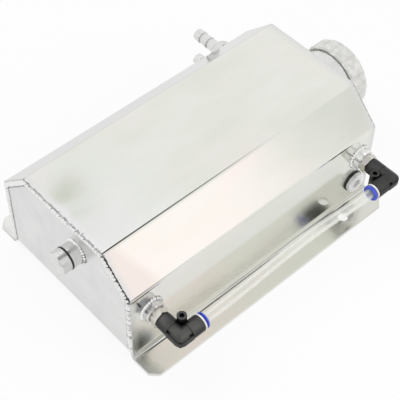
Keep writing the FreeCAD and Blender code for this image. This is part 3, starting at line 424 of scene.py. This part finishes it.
cap_finish, tree, shader, place = start_finish("satin_cap", (0.84, 0.84, 0.82), 0.38, 0.45)
mottle = grain(tree, place, 190)
satin = tint(tree, spread(tree, mottle, 0, 1), (0.60, 0.60, 0.565), (0.77, 0.77, 0.765))
# painted olive shade in the creases of the cap
in_light = spread(tree, openness(tree, 0.006), 0, 1, 0.3, 0.9)
coat(tree, shader, tint(tree, in_light, (0.42, 0.42, 0.34), satin), spread(tree, mottle, 0.30, 0.46))
emboss(tree, shader, [(mottle, 0.08, 0.0002)])
dress(cap_finish, "filler_cap")

drain_centre = (drain_side, 0, drain_level)
drain_finish = turned_finish("turned_drain", "Y", drain_centre, (0.82, 0.82, 0.81), 0.28, 0.42)
dress(drain_finish, "drain_bung", "drain_plug")
port_centre = (0, port_row, port_level)
port_finish = turned_finish("turned_port", "X", port_centre, (0.92, 0.92, 0.92), 0.3, 0.45, 0.3)
dress(port_finish, "side_port_bung", "side_port_plug")
# Lit and shaded copies of one finish: the lower boss is painted darker, the upper one paler and less metallic
for end, grey, metallic in (("lower", 0.74, 1.0), ("upper", 0.96, 0.6)):
    boss_name, boss_centre = "turned_" + end + "_gauge", (0, gauge_rows[end], gauge_level)
    boss_finish = turned_finish(boss_name, "X", boss_centre, (grey, grey, grey), 0.04, 0.10, metallic)
    dress(boss_finish, end + "_gauge_bung")
front_barb_finish = turned_finish("turned_front_barb", "X", (0, barb_row, barb_levels["front"]))
dress(front_barb_finish, "front_barb_bung", "front_hose_barb")
rear_barb_finish = turned_finish("turned_rear_barb", "X", (0, barb_row, barb_levels["rear"]))
dress(rear_barb_finish, "rear_barb_bung", "rear_hose_barb", "dip_tube")


# Screw threads
# Cut on the neck and on the stems of both plugs. They are hidden while all is closed, and each is a
# right-hand ridge that stands a little proud of its stem.
def screw_thread(name, foot, axis, radius, length, pitch, height, body, finish):
    """A ridge wound round a stem from foot along axis, with both of its ends closed."""
    half_width, steps_a_turn = pitch * 0.36, 36
    bpy.ops.object.select_all(action="DESELECT")
    bpy.ops.mesh.primitive_circle_add(vertices=4, radius=1.0)
    ridge = bpy.context.object
    ridge.name = name
    bpy.ops.object.mode_set(mode="EDIT")
    bpy.ops.mesh.select_all(action="SELECT")
    bpy.ops.transform.resize(value=(height, half_width, 1.0))
    bpy.ops.transform.rotate(value=math.pi / 2, orient_axis="X", center_override=(0, 0, 0))
    bpy.ops.transform.translate(value=(radius, 0, 0))
    bpy.ops.object.mode_set(mode="OBJECT")
    turns = length / pitch
    wind = ridge.modifiers.new("wind", "SCREW")
    wind.angle = math.tau * turns
    wind.screw_offset = length
    wind.steps = round(steps_a_turn * turns)
    wind.render_steps = wind.steps
    bpy.ops.object.modifier_apply(modifier=wind.name)
    bpy.ops.object.mode_set(mode="EDIT")
    bpy.ops.mesh.select_all(action="SELECT")
    bpy.ops.mesh.fill_holes(sides=4)
    bpy.ops.mesh.select_all(action="SELECT")
    bpy.ops.mesh.normals_make_consistent(inside=False)
    bpy.ops.object.mode_set(mode="OBJECT")
    stand = Vector(axis).to_track_quat("Z", "Y").to_matrix().to_4x4()
    ridge.data.transform(Matrix.Translation(foot) @ stand)
    ridge.data.materials.append(finish)
    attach(ridge, body)


screw_thread("neck_thread", (0, 0.1516, neck_level), (0, 1, 0), radius=0.0260, length=0.0075,
             pitch=0.0030, height=0.00025, body="tank", finish=neck_finish)
screw_thread("drain_thread", (drain_side, -0.1267, drain_level), (0, -1, 0), radius=0.0068, length=0.0078,
             pitch=0.0015, height=0.00020, body="drain", finish=drain_finish)
screw_thread("port_thread", (0.0673, port_row, port_level), (1, 0, 0), radius=0.0068, length=0.0066,
             pitch=0.0015, height=0.00020, body="side_plug", finish=port_finish)


# Rubber seals
# Moulded black rings that are squeezed under the cap and the plugs, and inside the elbows. Their skin is
# dull, with a fine dusty grain.
rubber, tree, shader, place = start_finish("seal_rubber", (0.018, 0.018, 0.018), 0.55)
dust = grain(tree, place, 700, 4.0)
dusty = tint(tree, spread(tree, dust, 0, 1), (0.012, 0.012, 0.012), (0.03, 0.03, 0.029))
coat(tree, shader, dusty, spread(tree, dust, 0.42, 0.66))
emboss(tree, shader, [(dust, 0.2, 0.0001)])
dress(rubber, "cap_seal", "drain_o_ring", "side_port_o_ring", "lower_stud_seal", "upper_stud_seal",
      "lower_tube_seal", "upper_tube_seal")


# Elbow studs and grip rings
# The studs are turned from brass and plated with nickel, so they are bright and a little warm. The toothed
# grip rings are stamped from spring steel and share the look of the plating.
for end, row in gauge_rows.items():
    nickel = turned_finish(end + "_nickel", "X", (0, row, gauge_level), (0.72, 0.69, 0.64), 0.05, 0.13)
    dress(nickel, end + "_elbow_stud", end + "_grip_ring")


# Elbow bodies
# Injection-moulded in black glass-filled nylon. The mould leaves a fine sparked grain, and the halves of the
# mould meet in a thin line round the middle of each elbow. The upper elbow is darker by painted shade.
def edge_on(tree):
    """How far a surface turns away from the eye, from 0 to 1."""
    weight = tree.nodes.new("ShaderNodeLayerWeight")
    weight.inputs["Blend"].default_value = 0.5
    return weight.outputs["Facing"]


nylon, tree, shader, place = start_finish("black_nylon", (0.02, 0.02, 0.019), 0.36)
shader.inputs["Specular IOR Level"].default_value = 0.3
spark = grain(tree, place, 1500, 2.0)
cloud = grain(tree, place, 120)
_, row, height = along(tree, place)
from_line = reckon(tree, "ABSOLUTE", reckon(tree, "SUBTRACT", height, gauge_level))
parting = spread(tree, from_line, 1, 0, 0.00008, 0.00020)
# painted sheen: the colour is lighter where the surface faces the eye, darker where it turns away
turned_away = spread(tree, edge_on(tree), 0, 1, 0.02, 0.40)
painted_sheen_and_shade = tint(tree, turned_away, (0.105, 0.105, 0.102), (0.009, 0.009, 0.009))
# painted shade: the upper elbow is darker
painted_sheen_and_shade = tint(tree, spread(tree, row, 0, 0.5, -0.05, 0.08), painted_sheen_and_shade, (0.02, 0.02, 0.02))
clouded = tint(tree, spread(tree, cloud, 0, 0.7), painted_sheen_and_shade, (0.022, 0.022, 0.022))
# painted shade: creases and notches of the elbow are darker
in_light = spread(tree, openness(tree, 0.004), 0, 1, 0.35, 0.9)
coat(tree, shader, tint(tree, in_light, (0.003, 0.003, 0.003), clouded), spread(tree, spark, 0.3, 0.5))
emboss(tree, shader, [(spark, 0.12, 0.0001), (parting, 0.6, 0.0001)])
dress(nylon, "lower_elbow_body", "upper_elbow_body")


# Guide rings and release rings
# Moulded in acetal, pale for the guide that is pressed into the elbow and blue for the ring that frees the
# tube. Both have the soft shine of the material and slightly uneven colour.
for name, dark, light, nodes in (
    ("pale_acetal", (0.70, 0.70, 0.67), (0.82, 0.82, 0.80), ("lower_guide_ring", "upper_guide_ring")),
    ("blue_acetal", (0.035, 0.065, 0.52), (0.07, 0.12, 0.72), ("lower_release_ring", "upper_release_ring")),
):
    acetal, tree, shader, place = start_finish(name, light, 0.28)
    flow = grain(tree, place, 260)
    coat(tree, shader, tint(tree, spread(tree, flow, 0, 1), dark, light), spread(tree, flow, 0.22, 0.36))
    emboss(tree, shader, [(flow, 0.06, 0.0002)])
    dress(acetal, *nodes)


# Sight tube
# Extruded clear polyurethane, pushed into both elbows, where it bows up a little between them. It shows the
# coolant level, and it has a faint milky haze, fine lines along its length and edges that show its wall.
clear_tube, tree, shader, place = start_finish("clear_polyurethane", (0.96, 0.965, 0.955), 0.03)
shader.inputs["IOR"].default_value = 1.47
tree.links.new(spread(tree, edge_on(tree), 0.03, 0.42, 0.05, 0.5), shader.inputs["Alpha"])
lines = grain(tree, place, 420, 1.0, (1, 0.02, 1))
milk = grain(tree, place, 300, 3.0, (1, 0.2, 1))
milky = tint(tree, spread(tree, milk, 0, 1), (0.90, 0.905, 0.87), (0.94, 0.945, 0.91))
coat(tree, shader, milky, spread(tree, lines, 0.08, 0.12))
tube_side, tube_radius, tube_wall = 0.1054, 0.0040, 0.00125
tube_foot, tube_head, station_count = -0.102, 0.105, 104
tube_bends = ((-0.062, 0.0, 0.018), (0.018, 0.0065, 0.0258), (0.075, 0.0, 0.0135))


def tube_rise(row):
    """How far the tube bows up at a row. It has straight runs between three bends, and each bend, a row and a
    height, is rounded over its reach."""
    rise, slope = 0.0, 0.0
    for number, (bend_row, height, reach) in enumerate(tube_bends):
        following = 0.0
        if number + 1 < len(tube_bends):
            next_row, next_height, _ = tube_bends[number + 1]
            following = (next_height - height) / (next_row - bend_row)
        past = row - bend_row
        ramp = max(past, 0.0) if abs(past) > reach else (past + reach) ** 2 / (4 * reach)
        rise += (following - slope) * ramp
        slope = following
    return rise


bpy.ops.object.select_all(action="DESELECT")
bpy.ops.mesh.primitive_circle_add(vertices=48, radius=tube_radius)
level_tube = bpy.context.object
level_tube.name = "level_tube"
bpy.ops.object.mode_set(mode="EDIT")
bpy.ops.mesh.select_all(action="SELECT")
bpy.ops.transform.rotate(value=math.pi / 2, orient_axis="X", center_override=(0, 0, 0))
bpy.ops.transform.translate(value=(tube_side, tube_foot, gauge_level))
station_step = (tube_head - tube_foot) / station_count
for number in range(station_count):
    row = tube_foot + number * station_step
    step_up = tube_rise(row + station_step) - tube_rise(row)
    bpy.ops.mesh.extrude_region_move(TRANSFORM_OT_translate={"value": (0, station_step, step_up)})
bpy.ops.mesh.select_all(action="SELECT")
bpy.ops.mesh.normals_make_consistent(inside=False)
bpy.ops.object.mode_set(mode="OBJECT")
wall = level_tube.modifiers.new("wall", "SOLIDIFY")
wall.thickness = tube_wall
wall.offset = -1
bpy.ops.object.modifier_apply(modifier=wall.name)
bpy.ops.object.shade_smooth_by_angle(angle=math.radians(40))
level_tube.data.materials.append(clear_tube)
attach(level_tube, "tank")
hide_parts("sight_tube")


# Studio
# The tank lies on its back on a white sweep, under soft panels, and the camera looks down along its right
# side from the drain end. The polished sheet mirrors a white room with a few warm and dark places in it.
camera_data = bpy.data.cameras.new("camera")
camera_data.sensor_width = 36
camera_data.lens = 100.46
camera = bpy.data.objects.new("camera", camera_data)
right, up, back = (0.67170, 0.74066, 0.01571), (-0.58050, 0.51304, 0.63231), (0.46026, -0.43384, 0.77456)
view_turn = Matrix((right, up, back)).transposed().to_4x4()
camera.matrix_world = Matrix.Translation((0.416445, -0.385118, 0.713145)) @ view_turn
bpy.context.collection.objects.link(camera)
bpy.context.scene.camera = camera

bpy.ops.object.select_all(action="DESELECT")
bpy.ops.mesh.primitive_plane_add(size=8, location=(0, 0, -0.0003))
floor = bpy.context.object
floor.name = "floor"
paper, tree, shader, place = start_finish("white_paper", (0.82, 0.82, 0.82), 0.9)
shader.inputs["Specular IOR Level"].default_value = 0.0
glow = tree.nodes.new("ShaderNodeEmission")
rays = tree.nodes.new("ShaderNodeLightPath")
mirrored = reckon(tree, "MAXIMUM", rays.outputs["Is Glossy Ray"], rays.outputs["Is Transmission Ray"])
# The paper glows for the camera and in reflections. In reflections it glows less towards the left, a painted
# shadow of the tank.
lit_side = spread(tree, along(tree, place)[0], 0.38, 0.64, -0.16, -0.05)
seen_glow = times(tree, rays.outputs["Is Camera Ray"], 0.88)
share = reckon(tree, "MAXIMUM", seen_glow, times(tree, mirrored, lit_side))
blend = tree.nodes.new("ShaderNodeMixShader")
tree.links.new(share, blend.inputs["Fac"])
tree.links.new(shader.outputs["BSDF"], blend.inputs[1])
tree.links.new(glow.outputs["Emission"], blend.inputs[2])
tree.links.new(blend.outputs["Shader"], tree.nodes["Material Output"].inputs["Surface"])
floor.data.materials.append(paper)

# Places in the room: the way to each, the degrees at which it starts and stops to fade, and its colour. The
# grey ceiling, the dark place beyond it and the lamp show in the bends and the turned pieces.
world = bpy.data.worlds.new("studio")
world.use_nodes = True
bpy.context.scene.world = world
room = world.node_tree
background = room.nodes["Background"]
rays = room.nodes.new("ShaderNodeLightPath")
toward = room.nodes.new("ShaderNodeTexCoord").outputs["Generated"]
warm_card = ((0.785, 0.400, 0.472), 4.0, 9.0, (1.27, 1.18, 1.20))
lilac_card = ((-0.500, 0.290, 0.815), 3.0, 9.0, (1.06, 1.05, 1.14))
pink_card = ((0.405, 0.340, 0.849), 3.0, 7.5, (1.17, 1.05, 1.08))
dim_far_place = ((0.660, 0.640, 0.395), 3.0, 10.5, (0.84, 0.85, 0.84))
dark_doorway = ((0.410, -0.910, 0.080), 9.0, 23.0, (0.12, 0.12, 0.12))
small_smudge = ((-0.535, 0.343, 0.772), 0.3, 1.8, (0.68, 0.70, 0.62))
grey_ceiling = ((-0.040, -0.060, 0.997), 22.0, 31.0, (0.42, 0.42, 0.42))
dark_beyond = ((0.080, 0.270, 0.960), 12.0, 15.0, (0.03, 0.03, 0.03))
lamp_overhead = ((-0.370, 0.270, 0.889), 2.0, 4.5, (5.0, 5.0, 5.0))
patches = [warm_card, lilac_card, pink_card, dim_far_place, dark_doorway, small_smudge, grey_ceiling,
           dark_beyond, lamp_overhead]
bar_slope = 0.305
for rise in (0.02, 0.11, 0.20, 0.29):
    dark_bar = (math.sqrt(1 - rise ** 2 - bar_slope ** 2), bar_slope, rise)
    patches.append((dark_bar, 2.4, 4.6, (0.05, 0.05, 0.05)))
walls = (1.0, 1.0, 1.0)
for direction, inner, outer, colour in patches:
    facing = room.nodes.new("ShaderNodeVectorMath")
    facing.operation = "DOT_PRODUCT"
    facing.inputs[1].default_value = Vector(direction).normalized()
    room.links.new(toward, facing.inputs[0])
    away = reckon(room, "DEGREES", reckon(room, "ARCCOSINE", facing.outputs["Value"]))
    walls = tint(room, spread(room, away, 1, 0, inner, outer), walls, colour)
seen = tint(room, rays.outputs["Is Glossy Ray"], (1.0, 1.0, 1.0), walls)
room.links.new(seen, background.inputs["Color"])
plain = reckon(room, "MAXIMUM", rays.outputs["Is Camera Ray"], rays.outputs["Is Glossy Ray"])
room.links.new(spread(room, plain, 0.75, 1.0, 0, 1), background.inputs["Strength"])


def soft_panel(name, place, aim, size, power, colour):
    """A square lamp that points at a part of the tank. The sheet mirrors the room, not the lamp."""
    data = bpy.data.lights.new(name, "AREA")
    data.size = size
    data.energy = power
    data.color = colour
    lamp = bpy.data.objects.new(name, data)
    lamp.location = place
    lamp.rotation_mode = "QUATERNION"
    lamp.rotation_quaternion = (Vector(aim) - Vector(place)).to_track_quat("-Z", "Y")
    lamp.visible_camera = False
    lamp.visible_glossy = False
    bpy.context.collection.objects.link(lamp)


soft_panel("right_panel", (0.95, 0.45, 0.75), (0.05, 0.0, 0.08), 0.7, 4.0, (1.0, 0.96, 0.93))
soft_panel("top_panel", (-0.35, -0.25, 1.2), (0, 0, 0.05), 0.8, 5.0, (1.0, 1.0, 1.0))

bpy.context.scene.view_settings.view_transform = "Standard"
